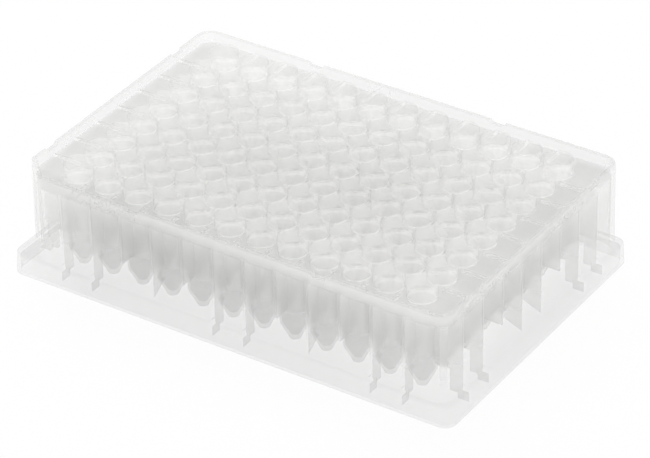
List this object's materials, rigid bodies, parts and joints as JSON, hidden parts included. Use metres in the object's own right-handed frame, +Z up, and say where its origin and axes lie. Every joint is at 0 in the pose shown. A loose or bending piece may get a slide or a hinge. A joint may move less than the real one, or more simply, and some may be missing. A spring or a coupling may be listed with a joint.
{
  "type": "deep-well storage plate",
  "caption": "Rectangular translucent plate with a grid of round wells with conical bottoms inside a walled rim and a stepped foot, for storing liquid samples.",
  "frame": {"origin": "centre of the footprint, on the surface the plate stands on", "axes": "+X along the long side from column 1 to column 12, +Y from row H to row A, +Z up"},
  "size_m": [0.1278, 0.0854, 0.0307],
  "materials": {
    "polypropylene": "satin translucent"
  },
  "bodies": {
    "root": {"well_plate": "polypropylene"}
  },
  "joints": []
}
